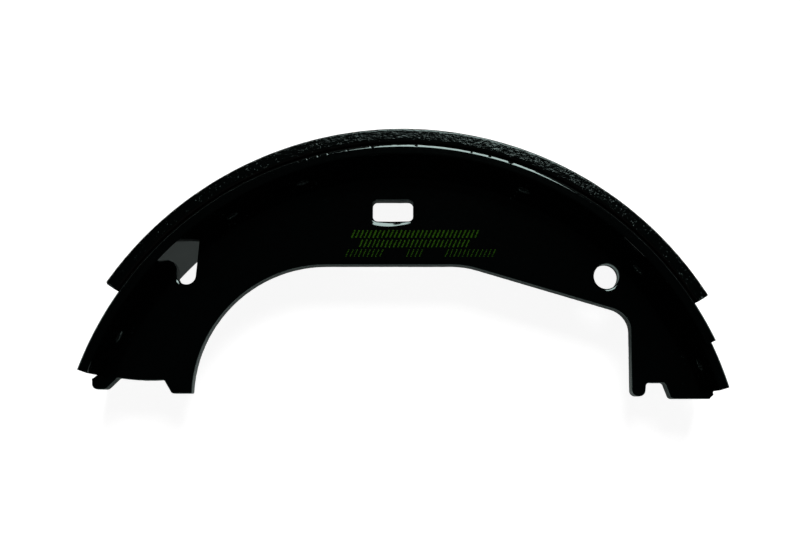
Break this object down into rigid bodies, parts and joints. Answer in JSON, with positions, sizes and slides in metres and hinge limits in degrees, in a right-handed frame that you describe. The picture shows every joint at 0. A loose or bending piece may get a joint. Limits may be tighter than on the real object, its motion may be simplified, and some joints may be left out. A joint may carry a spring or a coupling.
{
  "type": "brake shoe",
  "caption": "Bonded drum brake shoe: curved steel table with a friction lining, welded to a flat crescent web with seats, slot, spring hole and keyhole notch.",
  "frame": {"origin": "centre of the overall bounding box in X and Y, on the plane of the table's lower edge (z = 0); the drum's axis stands at x = -0.72 mm, y = -57.58 mm", "axes": "+X along the shoe from the left foot to the forked right foot, +Y outwards to the crown of the lining, +Z along the drum's axis, up from the table edge the shoe lies on"},
  "size_m": [0.1682, 0.0698, 0.03],
  "materials": {
    "web_paint": "gloss black stoving paint on pressed steel",
    "table_paint": "gloss black stoving paint on rolled steel",
    "lining": "dark grey moulded friction compound, matt, granular, with fine metal flecks",
    "adhesive": "cured bonding film, dull",
    "weld_paint": "small resistance weld beads under the same black paint"
  },
  "bodies": {
    "root": {"web": "web_paint", "table": "table_paint", "friction_lining": "lining", "adhesive_film": "adhesive", "weld_beads": "weld_paint"}
  },
  "joints": []
}
